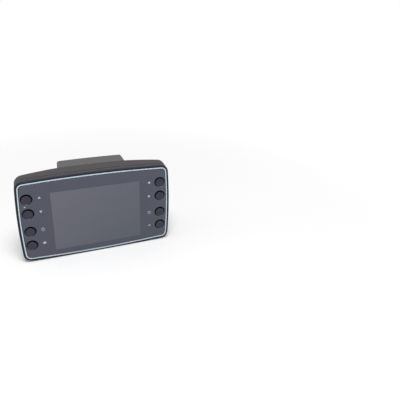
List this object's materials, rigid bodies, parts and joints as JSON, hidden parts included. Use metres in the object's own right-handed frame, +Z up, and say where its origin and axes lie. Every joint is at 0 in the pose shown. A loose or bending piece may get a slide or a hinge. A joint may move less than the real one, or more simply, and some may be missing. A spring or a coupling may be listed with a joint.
{
  "type": "in-vehicle lap timer display",
  "caption": "Dash-mounted in-vehicle display unit: bow-sided screen face with round press keys, thin trim ring, curved rear housing and a drafted rear cover that takes a mount.",
  "frame": {"origin": "on the base, under the middle of the bounding box", "axes": "+X to the right along the face as seen from the front, +Y from the face to the back, +Z up"},
  "size_m": [0.1222, 0.0314, 0.074],
  "materials": {
    "satin_black_moulding": "satin black moulded plastic",
    "charcoal_moulding": "fine-textured charcoal moulded plastic",
    "grey_moulding": "fine-textured dark grey moulded plastic",
    "smoked_panel": "glossy smoked blue-grey sheet",
    "pale_cyan_trim": "pale cyan moulded trim",
    "black_rubber": "matt black silicone rubber",
    "display_glass": "unlit display with a pressed frame",
    "green_laminate": "green solder-masked board",
    "bright_steel": "bright plated steel",
    "brass": "plain turned brass",
    "battery_foil": "grey foil pouch",
    "pale_ceramic": "unglazed pale ceramic",
    "grey_foam": "closed-cell foam"
  },
  "bodies": {
    "unit": {"front_bezel": "satin_black_moulding", "buzzer": "satin_black_moulding", "rear_housing": "charcoal_moulding", "rear_cover": "grey_moulding", "front_panel": "smoked_panel", "trim_ring": "pale_cyan_trim", "keypad_mat_left": "black_rubber", "keypad_mat_right": "black_rubber", "housing_seal": "black_rubber", "display_module": "display_glass", "main_board": "green_laminate", "antenna_board": "green_laminate", "switch_left_1": "bright_steel", "switch_left_2": "bright_steel", "switch_left_3": "bright_steel", "switch_left_4": "bright_steel", "switch_right_1": "bright_steel", "switch_right_2": "bright_steel", "switch_right_3": "bright_steel", "switch_right_4": "bright_steel", "housing_screw_1": "bright_steel", "housing_screw_2": "bright_steel", "housing_screw_3": "bright_steel", "housing_screw_4": "bright_steel", "cover_screw_1": "bright_steel", "cover_screw_2": "bright_steel", "cover_screw_3": "bright_steel", "cover_screw_4": "bright_steel", "shield_can": "bright_steel", "usb_port": "bright_steel", "mount_insert_1": "brass", "mount_insert_2": "brass", "mount_insert_3": "brass", "mount_insert_4": "brass", "battery": "battery_foil", "antenna_patch": "pale_ceramic", "display_gasket": "grey_foam", "battery_pad": "grey_foam"},
    "key_left_1": {"button_left_1": "black_rubber"},
    "key_left_2": {"button_left_2": "black_rubber"},
    "key_left_3": {"button_left_3": "black_rubber"},
    "key_left_4": {"button_left_4": "black_rubber"},
    "key_right_1": {"button_right_1": "black_rubber"},
    "key_right_2": {"button_right_2": "black_rubber"},
    "key_right_3": {"button_right_3": "black_rubber"},
    "key_right_4": {"button_right_4": "black_rubber"},
    "port_flap": {"port_cover": "black_rubber"}
  },
  "joints": [
    {"name": "key_left_1_press", "type": "slide", "parent": "unit", "child": "key_left_1", "axis": [0, 1, 0], "range_m": [0, 0.0008], "stiffness_N_per_m": 1800},
    {"name": "key_left_2_press", "type": "slide", "parent": "unit", "child": "key_left_2", "axis": [0, 1, 0], "range_m": [0, 0.0008], "stiffness_N_per_m": 1800},
    {"name": "key_left_3_press", "type": "slide", "parent": "unit", "child": "key_left_3", "axis": [0, 1, 0], "range_m": [0, 0.0008], "stiffness_N_per_m": 1800},
    {"name": "key_left_4_press", "type": "slide", "parent": "unit", "child": "key_left_4", "axis": [0, 1, 0], "range_m": [0, 0.0008], "stiffness_N_per_m": 1800},
    {"name": "key_right_1_press", "type": "slide", "parent": "unit", "child": "key_right_1", "axis": [0, 1, 0], "range_m": [0, 0.0008], "stiffness_N_per_m": 1800},
    {"name": "key_right_2_press", "type": "slide", "parent": "unit", "child": "key_right_2", "axis": [0, 1, 0], "range_m": [0, 0.0008], "stiffness_N_per_m": 1800},
    {"name": "key_right_3_press", "type": "slide", "parent": "unit", "child": "key_right_3", "axis": [0, 1, 0], "range_m": [0, 0.0008], "stiffness_N_per_m": 1800},
    {"name": "key_right_4_press", "type": "slide", "parent": "unit", "child": "key_right_4", "axis": [0, 1, 0], "range_m": [0, 0.0008], "stiffness_N_per_m": 1800},
    {"name": "port_flap_hinge", "type": "hinge", "parent": "unit", "child": "port_flap", "pos_m": [0.04466, 0.00187, 0.02885], "axis": [0, 0, -1], "range_deg": [0, 120], "stiffness_Nm_per_rad": 0.002}
  ]
}
